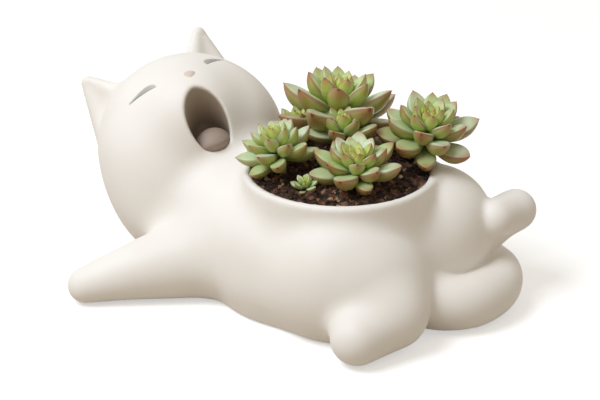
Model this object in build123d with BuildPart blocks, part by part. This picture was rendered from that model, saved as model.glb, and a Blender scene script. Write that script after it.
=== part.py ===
"""A planter in the shape of a cat that lies on its back and yawns, with its succulents.

The cat is slip-cast ceramic: a pot body with the head, ears, legs and tail luted on before
firing. Its belly is the pot. The pot holds a drainage mesh, potting soil and rosette plants.
Millimetres, +Z up, +X from the head to the rump, -Y towards the cat's near side. The origin
is on the flat base, under the middle of the pot's rim.
"""

from build123d import *
import math
import os

# Pot and belly
rim_radius = 53.0
pot_height = 75.0
lip_wall = 4.5
body_wall = 5.0
floor_thickness = 7.0
lip_rounding = 1.4
drain_hole_radius = 5.0
vent_hole_radius = 2.0
overrun = 10.0

neck_bore_radius = 14.0

# Head
head_half_width = 50.0
head_radius = 45.5
cheek_half_width = 34.0
cheek_radius = 33.5
muzzle_height = 18.0
muzzle_radius = 17.5
mouth_half_length = 16.3
mouth_half_width = 12.2
mouth_rounding = 7.0
tongue_half_length = 12.0
tongue_radius = 11.0
nose_half_width = 4.6
nose_radius = 3.0
eye_groove_radius = 14.0
eye_groove_depth = 1.0
ear_length = 24.5
ear_half_width = 17.0
ear_half_thickness = 7.0
ear_hollow_radius = 30.0
ear_hollow_depth = 1.8
ear_middle_thickness = 4.8

# Legs and tail
shoulder_radius = 25.0
wrist_radius = 15.0
fore_paw_radius = 10.0
hind_paw_radius = 14.0
hind_heel_radius = 18.0
raised_shank_radius = 15.0
raised_calf_radius = 12.5
raised_foot_radius = 10.5
tail_root_radius = 16.0
tail_tip_radius = 9.0

# Filling
soil_drop = 4.0
soil_crown = 4.0
loose_fit = 0.3
mesh_radius = 12.0
mesh_thickness = 0.8
mesh_hole = 1.6
mesh_pitch = 2.6
mesh_hole_rows = 7

# Flesh of the body: a half length and a half width, as shares of the rim's radius
belly_size_share = (1.302, 1.170)
thigh_size_share = (0.792, 0.783)
haunch_size_share = (0.642, 0.566)
chest_size_share = (0.943, 0.811)
neck_size_share = (0.679, 0.585)

# Places. X and Y are shares of the rim's radius, and Z is a share of the pot's height, but for
# the thighs and the haunch it is how far they sit under the rim, as a share of its radius.
belly_section_shares = (
    # height, middle, half length, half width
    (0.00, -0.264, 0.870, 0.903),
    (0.21, -0.264, 0.986, 1.000),
    (0.45, -0.264, 1.000, 1.000),
    (0.67, -0.245, 0.928, 0.919),
    (0.80, -0.189, 0.812, 0.806),
    (0.96, -0.113, 0.667, 0.645),
)
thigh_share = (0.34, 0.49, 0.849)
haunch_share = (0.85, 0.585, 0.651)
chest_share = (-1.245, -0.038, 0.40)
neck_share = (-1.66, -0.038, 0.453)
head_share = (-2.057, 0.019, 0.927)
shoulder_share = (-1.132, 0.717, 0.293)
wrist_share = (-1.70, 1.377, 0.20)
fore_paw_share = (-2.00, 1.717, 0.133)
hind_toe_share = (0.998, -1.132, 0.187)
hind_heel_share = (1.104, -0.660, 0.253)
raised_shank_share = (1.094, 0.868, 0.453)
raised_calf_share = (1.245, 1.00, 0.547)
raised_foot_share = (1.425, 1.142, 0.647)
raised_heel_share = (1.396, 0.774, 0.667)
tail_shares = (
    # x, y, z, thickness from the tip's to the root's
    (0.98, -0.113, 0.213, 1.00),
    (1.283, -0.019, 0.193, 0.86),
    (1.49, 0.226, 0.187, 0.78),
    (1.528, 0.604, 0.187, 0.64),
    (1.377, 0.943, 0.193, 0.44),
    (1.10, 1.16, 0.213, 0.00),
)

# The head's own directions: the nose points up and to the near side, and the ears lie in line.
nose_direction_share = (0.236, -0.451, 0.861)
ear_line_share = (0.494, 0.818, 0.294)

# Places on the head, as shares of its radius: towards the chin, to the far side, to the nose
face_share = 0.11
near_cheek_share = Vector(0.264, -0.44, -0.11)
far_cheek_share = Vector(0.264, 0.44, -0.11)
muzzle_share = (0.264, 0.725)
muzzle_lean_share = (0.30, 0.0, 0.95)
mouth_share = (0.578, 0.44)
mouth_side_share = (0.65, 0.0, 0.76)
crown_side_share = (-1.0, 0.0, 0.0)
tongue_share = (0.80, 0.64)
nose_share = (0.00, 1.085)
hollow_radius_share = 0.90
hollow_width_share = 0.845
hollow_rounding_share = 0.65
eye_share = (-0.11, 0.484)
ear_base_share = (-0.758, 0.681, 0.176)
ear_tip_share = (-1.220, 0.813, 0.325)
ear_width_share = (0.15, 0.72, -0.65)

# Ear sections: distance from the base, width and thickness
ear_section_shares = (
    (-0.60, 1.45, 1.35),
    (0.00, 1.00, 1.00),
    (0.50, 0.60, 0.68),
    (0.85, 0.27, 0.44),
    (1.00, 0.10, 0.20),
)

# Leaf sections: distance from the base, width and thickness
leaf_section_shares = (
    (0.00, 0.20, 0.42),
    (0.22, 0.50, 0.75),
    (0.45, 0.80, 1.00),
    (0.68, 1.00, 0.95),
    (0.86, 0.80, 0.66),
    (0.96, 0.40, 0.34),
    (1.00, 0.10, 0.12),
)
leaf_width_share = 0.50
leaf_thickness_share = 0.20
leaf_curl_share = 0.16
inner_leaf_share = 0.35
stem_share = 0.12
stem_tip_share = 0.55
trunk_share = 0.08
bend_share = 0.12
leafy_stem_share = 0.40
heart_radius_share = 0.05
heart_height_share = 0.12
steepening = 1.25
shortening = 1.3
leaf_narrowing = 0.12
leaf_fattening = 0.15
leaf_straightening = 0.3
golden_angle = 137.508

# Plants: leaf length, place of the lowest leaf, place of the roots, number of leaves, the
# slopes of the lowest and highest leaf, the rosette's lean, the way it leans, and its turn.
# Lengths are shares of the soil's radius, measured from the pot's axis and the soil's edge.
plant_shares = {
    "back": (0.685, (-0.473, 0.637, 0.363), (-0.498, 0.685), 18, 18, 76, 6, 80, 90),
    "right": (0.539, (0.651, 0.757, 0.353), (0.519, 0.643), 20, -12, 78, 18, -35, 165),
    "left": (0.446, (-0.469, -0.495, 0.280), (-0.436, -0.400), 21, -16, 80, 20, -140, 120),
    "front": (0.488, (0.369, -0.227, 0.228), (0.310, -0.170), 20, -9, 80, 10, -75, 180),
    "middle": (0.249, (-0.184, 0.282, 0.249), (-0.187, 0.270), 14, 16, 78, 6, -90, 45),
    "small": (0.158, (0.010, -0.665, 0.064), (0.000, -0.640), 13, -2, 78, 5, -90, 285),
    "hidden": (0.176, (-0.817, 0.343, 0.228), (-0.760, 0.290), 12, 12, 78, 5, 160, 300),
}
root_depth_share = 0.25
outer_leaf_share = 0.6

# Sizes that follow
well_radius = rim_radius - lip_wall
soil_radius = well_radius - loose_fit
soil_edge = pot_height - soil_drop
face_offset = face_share * head_radius
belly_half_length, belly_half_width = (share * rim_radius for share in belly_size_share)
thigh_height, thigh_radius = (share * rim_radius for share in thigh_size_share)
haunch_height, haunch_radius = (share * rim_radius for share in haunch_size_share)
chest_half_width, chest_radius = (share * rim_radius for share in chest_size_share)
neck_half_width, neck_radius = (share * rim_radius for share in neck_size_share)


def body_place(share, side=1):
    """A point of the body; a side of -1 mirrors it across the cat's middle plane."""
    return Vector(share[0] * rim_radius, side * share[1] * rim_radius, share[2] * pot_height)


def hung_place(share, side=1):
    """A point of the body that keeps its distance under the pot's rim."""
    return Vector(share[0], side * share[1], -share[2]) * rim_radius + Vector(0, 0, pot_height)


nose_direction = Vector(*nose_direction_share).normalized()
ear_line = Vector(*ear_line_share).normalized()
head_plane = Plane(body_place(head_share), x_dir=ear_line.cross(nose_direction), z_dir=nose_direction)


def spheroid(middle, axis, half_length, radius, seam=mouth_side_share):
    """An ellipse turned about its own axis, with its seam towards a given side."""
    with BuildPart() as form:
        with BuildSketch(Plane.XZ) as half:
            Ellipse(radius, half_length)
            split(bisect_by=Plane.YZ)
        revolve(half.sketch, axis=Axis.Z)
    return form.part.moved(Plane(Vector(*middle), x_dir=Vector(*seam), z_dir=Vector(*axis)).location)


def tapered_limb(places, radii):
    """A round limb that swells and tapers along its places, with a round end at the last."""
    sections = []
    for number, place in enumerate(places):
        before = places[max(number - 1, 0)]
        after = places[min(number + 1, len(places) - 1)]
        with BuildSketch(Plane(place, z_dir=after - before)) as section:
            Circle(radii[number])
        sections.append(section.sketch)
    with BuildPart() as form:
        loft(sections)
        with Locations(places[-1]):
            Sphere(radii[-1])
        with Locations(places[0]):
            Sphere(radii[0])
        split(bisect_by=Plane.XY)
    return form.part


def belly_form(inset):
    """The belly as a stack of ellipses, drawn in by an inset."""
    sections = []
    for height, middle, length, width in belly_section_shares:
        with BuildSketch(Plane.XY.offset(height * pot_height)) as section:
            with Locations((middle * rim_radius, 0)):
                Ellipse(length * belly_half_length - inset, width * belly_half_width - inset)
        sections.append(section.sketch)
    with BuildPart() as form:
        loft(sections)
    return form.part


def pot_cavity(gap):
    """The hollow that holds the soil, smaller all round by a gap."""
    belly = belly_form(body_wall + gap)
    head_clearance = grown_head(body_wall + gap)
    low = floor_thickness + gap
    with BuildPart() as form:
        add(belly)
        split(bisect_by=Plane.XY.offset(low))
        with BuildSketch(Plane.XY.offset(low)) as well:
            Circle(well_radius - gap)
        extrude(well.sketch, amount=pot_height - low + overrun)
        add(head_clearance, mode=Mode.SUBTRACT)
    return form.part


def grown_head(outset):
    """The skull and the cheeks in their place on the body, grown by an outset."""
    width = cheek_half_width + outset
    radius = cheek_radius + outset
    forms = [
        spheroid((0, 0, 0), (0, 1, 0), head_half_width + outset, head_radius + outset, crown_side_share),
        spheroid(near_cheek_share * head_radius, (0, 1, 0), width, radius, crown_side_share),
        spheroid(far_cheek_share * head_radius, (0, 1, 0), width, radius, crown_side_share),
    ]
    return [form.moved(head_plane.location) for form in forms]


def mouth_form(outset):
    """The oval hollow of the mouth in the head's own frame, grown by an outset."""
    deepest = Vector(mouth_share[0] * head_radius, face_offset, mouth_share[1] * head_radius - outset)
    with BuildPart() as form:
        with BuildSketch(Plane(deepest)) as oval:
            Ellipse(mouth_half_length + outset, mouth_half_width + outset)
        extrude(oval.sketch, amount=head_radius + overrun)
        fillet(form.edges().group_by(Axis.Z)[0], radius=mouth_rounding + outset)
    return form.part


def skull_point(towards_chin, to_far_side):
    """A point on the skull's surface, and the way the surface faces there."""
    rest = 1 - (towards_chin / head_radius) ** 2 - (to_far_side / head_half_width) ** 2
    point = Vector(towards_chin, to_far_side, head_radius * math.sqrt(rest))
    facing = Vector(
        point.X / head_radius**2, point.Y / head_half_width**2, point.Z / head_radius**2
    )
    return point, facing.normalized()


def ear_form(side):
    """One ear in the head's own frame, with its root reaching into the skull."""
    base = Vector(ear_base_share[0], side * ear_base_share[1], ear_base_share[2]) * head_radius
    tip = Vector(ear_tip_share[0], side * ear_tip_share[1], ear_tip_share[2]) * head_radius
    upward = (tip - base).normalized()
    across = Vector(ear_width_share[0], side * ear_width_share[1], ear_width_share[2])
    across = (across - upward * across.dot(upward)).normalized()
    sections = []
    for distance, width, thickness in ear_section_shares:
        place = base + upward * distance * ear_length
        with BuildSketch(Plane(place, x_dir=across, z_dir=upward)) as section:
            Ellipse(width * ear_half_width, thickness * ear_half_thickness)
        sections.append(section.sketch)
    forward = across.cross(upward)
    forward = forward if forward.Z > 0 else forward * -1
    above_face = ear_hollow_radius + ear_middle_thickness - ear_hollow_depth
    hollow = base + upward * ear_length / 2 + forward * above_face
    with BuildPart() as form:
        loft(sections)
        with Locations(hollow):
            Sphere(ear_hollow_radius, mode=Mode.SUBTRACT)
    return form.part


# The head's outer form, in its own frame
skull = spheroid((0, 0, 0), (0, 1, 0), head_half_width, head_radius)
near_cheek = spheroid(near_cheek_share * head_radius, (0, 1, 0), cheek_half_width, cheek_radius)
far_cheek = spheroid(far_cheek_share * head_radius, (0, 1, 0), cheek_half_width, cheek_radius)
muzzle = spheroid(
    (muzzle_share[0] * head_radius, face_offset, muzzle_share[1] * head_radius),
    muzzle_lean_share,
    muzzle_height,
    muzzle_radius,
)
with BuildPart() as head_mass:
    add(skull)
    add(near_cheek)
    add(far_cheek)
    add(muzzle)
head_form = head_mass.part.moved(head_plane.location)

# The hollow inside the head, a rounded drum that lies from ear to ear, a wall from the mouth
hollow_radius = hollow_radius_share * (head_radius - body_wall)
hollow_half_width = hollow_width_share * (head_half_width - body_wall)
mouth_wall = mouth_form(body_wall)
mouth_hollow = mouth_form(0)
with BuildPart() as head_cavity:
    with BuildSketch(Plane((0, -hollow_half_width, 0), x_dir=(1, 0, 0), z_dir=(0, 1, 0))) as drum_end:
        Circle(hollow_radius)
    extrude(drum_end.sketch, amount=2 * hollow_half_width)
    fillet(head_cavity.edges().filter_by(GeomType.CIRCLE), radius=hollow_rounding_share * hollow_radius)
    add(mouth_wall, mode=Mode.SUBTRACT)

# The nose, a small oval pad set across the end of the muzzle
nose_pad = spheroid(
    (nose_share[0] * head_radius, face_offset, nose_share[1] * head_radius),
    (0, 1, 0),
    nose_half_width,
    nose_radius,
    (1, 0, 0),
)

# The tongue fills the mouth's lower end
tongue_mass = spheroid(
    (tongue_share[0] * head_radius, face_offset, tongue_share[1] * head_radius),
    (0, 0, 1),
    tongue_half_length,
    tongue_radius,
    (1, 0, 0),
)

# The neck's bore joins the hollow of the head to that of the chest
chest_place = body_place(chest_share)
neck_line = head_plane.origin - chest_place
with BuildPart() as neck_bore:
    with BuildSketch(Plane(chest_place, z_dir=neck_line)) as bore:
        Circle(neck_bore_radius)
    extrude(bore.sketch, amount=neck_line.length)

# The outer forms of the body
belly = belly_form(0)
near_thigh = spheroid(hung_place(thigh_share, -1), (0, 0, 1), thigh_height, thigh_radius, (1, 0, 0))
far_thigh = spheroid(hung_place(thigh_share), (0, 0, 1), thigh_height, thigh_radius, (1, 0, 0))
haunch = spheroid(hung_place(haunch_share), (0, 0, 1), haunch_height, haunch_radius, (1, 0, 0))
chest = spheroid(chest_place, (0, 1, 0), chest_half_width, chest_radius, (0, 0, -1))
neck = spheroid(body_place(neck_share), (0, 1, 0), neck_half_width, neck_radius, (0, 0, -1))
chest_hollow = spheroid(
    chest_place, (0, 1, 0), chest_half_width - body_wall, chest_radius - body_wall, (0, 0, -1)
)
head_clearance = grown_head(body_wall)
soil_cavity = pot_cavity(0)
drain_place = (belly_section_shares[0][1] * rim_radius, 0)

# The chest's cast hollow, a wall away from the pot, the head and the base
with BuildPart() as chest_cavity:
    add(chest_hollow)
    split(bisect_by=Plane.XY.offset(floor_thickness))
    add(belly, mode=Mode.SUBTRACT)
    add(head_clearance, mode=Mode.SUBTRACT)

# The body's outer skin with nothing hollow, which also trims the limbs to their seats
with BuildPart() as torso:
    add(belly)
    with BuildSketch(Plane.XY) as drum:
        Circle(rim_radius)
    extrude(drum.sketch, amount=pot_height)
    add(near_thigh)
    add(far_thigh)
    add(haunch)
    add(chest)
    add(neck)

# The pot body: belly, rim, thighs, chest and neck in one casting
with BuildPart() as pot_body:
    add(torso.part)
    split(bisect_by=Plane.XY)
    add(head_form, mode=Mode.SUBTRACT)
    add(soil_cavity, mode=Mode.SUBTRACT)
    add(chest_cavity.part, mode=Mode.SUBTRACT)
    add(neck_bore.part, mode=Mode.SUBTRACT)
    with Locations(drain_place):
        Cylinder(drain_hole_radius, floor_thickness + overrun, mode=Mode.SUBTRACT)
    with Locations((chest_place.X, chest_place.Y)):
        Cylinder(vent_hole_radius, floor_thickness + overrun, mode=Mode.SUBTRACT)
    lip_edges = pot_body.edges().filter_by(GeomType.CIRCLE).group_by(Axis.Z)[-1]
    fillet(lip_edges, radius=lip_rounding)
pot_body.part.label = "pot_body"

# The head casting, with the mouth, the closed eyes and the seat of the nose
with BuildPart() as head_local:
    add(head_mass.part)
    add(head_cavity.part, mode=Mode.SUBTRACT)
    add(mouth_hollow, mode=Mode.SUBTRACT)
    add(nose_pad, mode=Mode.SUBTRACT)
    for side in (-1, 1):
        eye_point, eye_facing = skull_point(
            eye_share[0] * head_radius, face_offset + side * eye_share[1] * head_radius
        )
        with Locations(Location(eye_point - eye_facing * eye_groove_radius)):
            Torus(eye_groove_radius, eye_groove_depth, rotation=(0, 90, 0), mode=Mode.SUBTRACT)
with BuildPart() as head:
    add(head_local.part.moved(head_plane.location))
    add(neck_bore.part, mode=Mode.SUBTRACT)
head.part.label = "head"

with BuildPart() as nose:
    add(nose_pad.moved(head_plane.location))
nose.part.label = "nose"

with BuildPart() as tongue:
    add(tongue_mass.moved(head_plane.location))
    add(mouth_hollow.moved(head_plane.location), mode=Mode.INTERSECT)
    add(torso.part, mode=Mode.SUBTRACT)
tongue.part.label = "tongue"

with BuildPart() as near_ear:
    add(ear_form(-1).moved(head_plane.location))
    add(head_form, mode=Mode.SUBTRACT)
near_ear.part.label = "near_ear"

with BuildPart() as far_ear:
    add(ear_form(1).moved(head_plane.location))
    add(head_form, mode=Mode.SUBTRACT)
far_ear.part.label = "far_ear"

foreleg_shares = (shoulder_share, wrist_share, fore_paw_share)
foreleg_radii = (shoulder_radius, wrist_radius, fore_paw_radius)
near_foreleg_form = tapered_limb([body_place(share, -1) for share in foreleg_shares], foreleg_radii)
far_foreleg_form = tapered_limb([body_place(share) for share in foreleg_shares], foreleg_radii)
hind_paw_form = tapered_limb(
    [body_place(hind_heel_share), body_place(hind_toe_share)], (hind_heel_radius, hind_paw_radius)
)
raised_calf_form = tapered_limb(
    [body_place(raised_shank_share), body_place(raised_calf_share), body_place(raised_foot_share)],
    (raised_shank_radius, raised_calf_radius, raised_foot_radius),
)
raised_foot_form = tapered_limb(
    [body_place(raised_foot_share), body_place(raised_heel_share)],
    (raised_foot_radius, raised_foot_radius),
)
tail_form = tapered_limb(
    [body_place(share) for share in tail_shares],
    [tail_tip_radius + share[3] * (tail_root_radius - tail_tip_radius) for share in tail_shares],
)

with BuildPart() as near_foreleg:
    add(near_foreleg_form)
    add(torso.part, mode=Mode.SUBTRACT)
    add(head_form, mode=Mode.SUBTRACT)
near_foreleg.part.label = "near_foreleg"

with BuildPart() as far_foreleg:
    add(far_foreleg_form)
    add(torso.part, mode=Mode.SUBTRACT)
    add(head_form, mode=Mode.SUBTRACT)
far_foreleg.part.label = "far_foreleg"

with BuildPart() as near_hind_paw:
    add(hind_paw_form)
    add(torso.part, mode=Mode.SUBTRACT)
near_hind_paw.part.label = "near_hind_paw"

with BuildPart() as raised_hind_leg:
    add(raised_calf_form)
    add(raised_foot_form)
    add(torso.part, mode=Mode.SUBTRACT)
raised_hind_leg.part.label = "raised_hind_leg"

with BuildPart() as tail:
    add(tail_form)
    add(torso.part, mode=Mode.SUBTRACT)
    add(hind_paw_form, mode=Mode.SUBTRACT)
    add(raised_calf_form, mode=Mode.SUBTRACT)
tail.part.label = "tail"

# The drainage mesh, a punched disc that keeps the soil off the hole
with BuildPart() as drainage_mesh:
    with BuildSketch(Plane.XY.offset(floor_thickness)) as disc:
        with Locations(drain_place):
            Circle(mesh_radius)
            with GridLocations(mesh_pitch, mesh_pitch, mesh_hole_rows, mesh_hole_rows):
                Rectangle(mesh_hole, mesh_hole, mode=Mode.SUBTRACT)
    extrude(disc.sketch, amount=mesh_thickness)
drainage_mesh.part.label = "drainage_mesh"


def plant_frame(name):
    """The plane of a rosette's lowest leaves, with its stem along the plane's normal."""
    x, y, z = plant_shares[name][1]
    lean, way, turn = plant_shares[name][6:]
    base = Vector(x * soil_radius, y * soil_radius, soil_edge + z * soil_radius)
    hinge = Vector(-math.sin(math.radians(way)), math.cos(math.radians(way)), 0)
    upright = Vector(0, 0, 1).rotate(Axis((0, 0, 0), hinge), lean)
    first = Vector(1, 0, 0).rotate(Axis.Z, turn).rotate(Axis((0, 0, 0), hinge), lean)
    return Plane(base, x_dir=first, z_dir=upright)


def leaf_solid(length, width, thickness, curl):
    """One leaf along +X from its base: narrow at the root, full past the middle, pointed."""
    sections = []
    for distance, wide, thick in leaf_section_shares:
        place = Vector(distance * length, 0, curl * distance**2)
        with BuildSketch(Plane(place, x_dir=(0, 1, 0), z_dir=(1, 0, 0))) as section:
            Ellipse(wide * width / 2, thick * thickness / 2)
        sections.append(section.sketch)
    with BuildPart() as leaf:
        loft(sections)
    return leaf.part


def rosette_leaves(name):
    """The leaves of one plant, from the lowest to the heart, each a golden angle on."""
    spread, _, _, count, low_slope, high_slope = plant_shares[name][:6]
    reach = spread * soil_radius
    frame = plant_frame(name)
    leaves = []
    for number in range(count):
        age = number / (count - 1)
        slope = math.radians(low_slope + (high_slope - low_slope) * age**steepening)
        length = reach * (1 - (1 - inner_leaf_share) * age**shortening)
        width = length * leaf_width_share * (1 - leaf_narrowing * age)
        thickness = length * leaf_thickness_share * (1 + leaf_fattening * age)
        curl = leaf_curl_share * length * (1 - leaf_straightening * age)
        stem_here = reach * stem_share * (1 - (1 - stem_tip_share) * age)
        root_half = thickness * leaf_section_shares[0][2] / 2
        out = stem_here + loose_fit + abs(math.sin(slope)) * root_half
        outward = frame.x_dir.rotate(Axis((0, 0, 0), frame.z_dir), number * golden_angle)
        root = frame.origin + outward * out + frame.z_dir * (age * leafy_stem_share * reach)
        along = outward * math.cos(slope) + frame.z_dir * math.sin(slope)
        seat = Plane(root, x_dir=along, z_dir=frame.z_dir * math.cos(slope) - outward * math.sin(slope))
        leaves.append(leaf_solid(length, width, thickness, curl).moved(seat.location))
    return leaves


def plant_stem(name, gap):
    """A plant's stem: a trunk from its roots in the soil, then a taper that bears the leaves."""
    reach = plant_shares[name][0] * soil_radius
    frame = plant_frame(name)
    x, y = plant_shares[name][2]
    root = Vector(x * soil_radius, y * soil_radius, soil_edge - root_depth_share * reach - soil_crown)
    places = (
        (Plane(root, x_dir=frame.x_dir, z_dir=frame.z_dir), trunk_share * reach),
        (frame.offset(-bend_share * reach), trunk_share * reach),
        (frame, stem_share * reach),
        (frame.offset(leafy_stem_share * reach), stem_share * stem_tip_share * reach),
    )
    sections = []
    for place, radius in places:
        with BuildSketch(place) as section:
            Circle(radius + gap)
        sections.append(section.sketch)
    with BuildPart() as stem:
        loft(sections, ruled=True)
    return stem.part


def plant_heart(name):
    """The pointed bud at the middle of a rosette, on the end of its stem."""
    reach = plant_shares[name][0] * soil_radius
    frame = plant_frame(name)
    half_height = heart_height_share * reach
    lift = leafy_stem_share * reach + loose_fit + half_height
    return spheroid((0, 0, 0), (0, 0, 1), half_height, heart_radius_share * reach).moved(
        frame.offset(lift).location
    )


# The potting soil fills the pot to a low crown, with a hole for each plant's roots
stem_holes = [plant_stem(name, loose_fit) for name in plant_shares]
soil_mass = pot_cavity(loose_fit)
with BuildPart() as potting_soil:
    add(soil_mass)
    with BuildSketch(Plane.XZ) as headroom:
        with BuildLine():
            ThreePointArc((-soil_radius, soil_edge), (0, soil_edge + soil_crown), (soil_radius, soil_edge))
            Polyline(
                (soil_radius, soil_edge),
                (rim_radius, soil_edge),
                (rim_radius, pot_height + overrun),
                (-rim_radius, pot_height + overrun),
                (-rim_radius, soil_edge),
                (-soil_radius, soil_edge),
            )
        make_face()
        split(bisect_by=Plane.YZ)
    revolve(headroom.sketch, axis=Axis.Z, mode=Mode.SUBTRACT)
    with BuildSketch(Plane.XY) as mesh_seat:
        with Locations(drain_place):
            Circle(mesh_radius + loose_fit)
    extrude(mesh_seat.sketch, amount=floor_thickness + mesh_thickness + loose_fit, mode=Mode.SUBTRACT)
    add(stem_holes, mode=Mode.SUBTRACT)
potting_soil.part.label = "potting_soil"

pieces = [
    part_of_cat.part
    for part_of_cat in (
        pot_body,
        head,
        nose,
        tongue,
        near_ear,
        far_ear,
        near_foreleg,
        far_foreleg,
        near_hind_paw,
        raised_hind_leg,
        tail,
        drainage_mesh,
        potting_soil,
    )
]

# The plants. The leaves of one piece stay separate solids, so they are grouped and not fused.
for name in plant_shares:
    stem_solid = plant_stem(name, 0)
    heart_solid = plant_heart(name)
    leaf_solids = rosette_leaves(name)
    outer_count = round(len(leaf_solids) * outer_leaf_share)
    with BuildPart() as stem:
        add(stem_solid)
    stem.part.label = name + "_plant_stem"
    with BuildPart() as heart:
        add(heart_solid)
    heart.part.label = name + "_plant_heart"
    outer_leaves = Compound(label=name + "_plant_outer_leaves", children=leaf_solids[:outer_count])
    inner_leaves = Compound(label=name + "_plant_inner_leaves", children=leaf_solids[outer_count:])
    pieces += [stem.part, heart.part, outer_leaves, inner_leaves]

os.makedirs("parts", exist_ok=True)
for piece in pieces:
    export_step(piece, "parts/" + piece.label + ".step")
    print(piece.label, len(piece.solids()), round(piece.volume))
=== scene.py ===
# %% [markdown]
# # A ceramic cat planter with rosette succulents
# The object is a slip-cast, fired ceramic cat that lies on its back and yawns. Its belly is a
# round pot with potting soil and seven rosette plants. The CAD pieces give every size and
# place. Here the pieces get the look of the real thing: one soft, seamless casting, crumbly
# soil and fleshy leaves. All the work is in metres, in the CAD's own frame: +Z up, +X from the
# head to the rump, and -Y towards the side that the cat turns its face to.

# %% Load the frame
import math

import bmesh
import bpy
import numpy as np
from mathutils import Matrix, Vector


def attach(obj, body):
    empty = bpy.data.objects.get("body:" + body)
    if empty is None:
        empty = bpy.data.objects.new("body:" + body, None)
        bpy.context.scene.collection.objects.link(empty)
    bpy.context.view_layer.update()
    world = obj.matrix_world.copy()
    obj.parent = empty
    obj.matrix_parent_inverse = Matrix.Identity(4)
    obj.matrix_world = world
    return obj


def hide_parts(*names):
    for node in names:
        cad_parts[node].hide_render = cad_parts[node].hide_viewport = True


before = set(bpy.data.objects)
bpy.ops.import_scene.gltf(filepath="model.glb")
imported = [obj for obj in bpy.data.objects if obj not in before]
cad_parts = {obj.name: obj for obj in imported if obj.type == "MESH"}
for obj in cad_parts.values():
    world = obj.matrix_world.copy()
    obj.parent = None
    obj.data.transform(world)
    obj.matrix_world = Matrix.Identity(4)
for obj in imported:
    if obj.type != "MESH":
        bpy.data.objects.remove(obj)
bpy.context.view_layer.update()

MM = 0.001

# %% [markdown]
# ## Small helpers for objects and materials
# A colour is easiest to read as the hex code that a picture editor shows, but Blender's
# sockets want linear light, so one function turns one into the other. Others add nodes with
# their settings and links, so that each material below reads like a recipe.


# %% Helpers for objects, colours and nodes
def new_object(name, data):
    """A new object in the scene."""
    made = bpy.data.objects.new(name, data)
    bpy.context.scene.collection.objects.link(made)
    return made


def colour(code):
    """Turns an sRGB hex code into the linear colour that a socket takes."""
    channels = [int(code[start : start + 2], 16) / 255 for start in (1, 3, 5)]
    return [c / 12.92 if c <= 0.04045 else ((c + 0.055) / 1.055) ** 2.4 for c in channels] + [1.0]


def add_node(tree, kind, inputs=None, **settings):
    """Adds a node, sets it up, and fills its inputs with values or with other nodes' outputs."""
    made = tree.nodes.new(kind)
    for name, value in settings.items():
        setattr(made, name, value)
    for socket, value in (inputs or {}).items():
        if isinstance(value, bpy.types.NodeSocket):
            tree.links.new(value, made.inputs[socket])
        else:
            made.inputs[socket].default_value = value
    return made


def feed(tree, kind, inputs=None, **settings):
    """Adds a node and gives its first output, to feed the next node."""
    return add_node(tree, kind, inputs, **settings).outputs[0]


def spread(tree, value, low, high, to_low=0.0, to_high=1.0, steps="LINEAR"):
    """A value carried from one range to another."""
    inputs = {"Value": value, "From Min": low, "From Max": high, "To Min": to_low, "To Max": to_high}
    return feed(tree, "ShaderNodeMapRange", inputs, interpolation_type=steps)


def noise(tree, width, detail):
    """Noise over the whole object, with specks of a width in metres."""
    spot = add_node(tree, "ShaderNodeTexCoord").outputs["Object"]
    return feed(tree, "ShaderNodeTexNoise", {"Vector": spot, "Scale": 1 / width, "Detail": detail})


def blend(tree, share, a, b):
    """A mix of two colours."""
    return add_node(tree, "ShaderNodeMix", {0: share, 6: a, 7: b}, data_type="RGBA").outputs[2]


def new_material(name):
    """An empty node material and its tree."""
    made = bpy.data.materials.new(name)
    made.use_nodes = True
    made.node_tree.nodes.clear()
    return made, made.node_tree


def coat(tree, inputs, grain=None, strength=0.0, height=0.0):
    """Ends a material with one coat, which a grain makes uneven by a height in metres."""
    if grain is not None:
        relief = {"Height": grain, "Strength": strength, "Distance": height}
        inputs["Normal"] = feed(tree, "ShaderNodeBump", relief)
    surface = feed(tree, "ShaderNodeBsdfPrincipled", inputs)
    add_node(tree, "ShaderNodeOutputMaterial", {"Surface": surface})


def speckled(name, width, detail, codes, inputs, strength=0.0):
    """A material that drifts between two colours over specks of a width in metres."""
    made, tree = new_material(name)
    specks = noise(tree, width, detail)
    inputs["Base Color"] = blend(tree, specks, colour(codes[0]), colour(codes[1]))
    coat(tree, inputs, specks if strength else None, strength, 0.0005)
    return made


print("warm white, linear:", [round(c, 3) for c in colour("#F1EDE7")])

# %% [markdown]
# ## The camera
# The camera stands at the photograph's angle: turned 36 degrees towards the cat's head and
# looking 24 degrees down, from about 0.9 m away. At that distance a 100 mm lens fills the
# frame. The middle of the pot's rim is the anchor: it has to land on one point of the picture.

# %% Camera
camera_turn = math.radians(36.0)
camera_pitch = math.radians(24.0)
camera_distance = 0.900
anchor = Vector((0.0, 0.0, 0.075))
anchor_pixel = (340.0, 168.0)
picture_size = (600.0, 400.0)

camera_data = bpy.data.cameras.new("camera")
camera_data.lens = 100.0
camera_data.sensor_width = 36.0
camera_data.sensor_fit = "HORIZONTAL"
camera_data.clip_start = 0.05
camera_data.clip_end = 20.0
camera = new_object("camera", camera_data)
bpy.context.scene.camera = camera

to_right = Vector((math.cos(camera_turn), math.sin(camera_turn), 0.0))
level = math.cos(camera_pitch)
onward = (-math.sin(camera_turn) * level, math.cos(camera_turn) * level, -math.sin(camera_pitch))
onward = Vector(onward)
upward = to_right.cross(onward)
focal_pixels = camera_data.lens / camera_data.sensor_width * picture_size[0]
shift_right = (anchor_pixel[0] - picture_size[0] / 2) / focal_pixels * camera_distance
shift_up = (picture_size[1] / 2 - anchor_pixel[1]) / focal_pixels * camera_distance
camera_place = anchor - onward * camera_distance - to_right * shift_right - upward * shift_up
turn = Matrix((to_right, upward, -onward)).transposed().to_4x4()
camera.matrix_world = Matrix.Translation(camera_place) @ turn
print("camera at", [round(c, 3) for c in camera_place])

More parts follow.
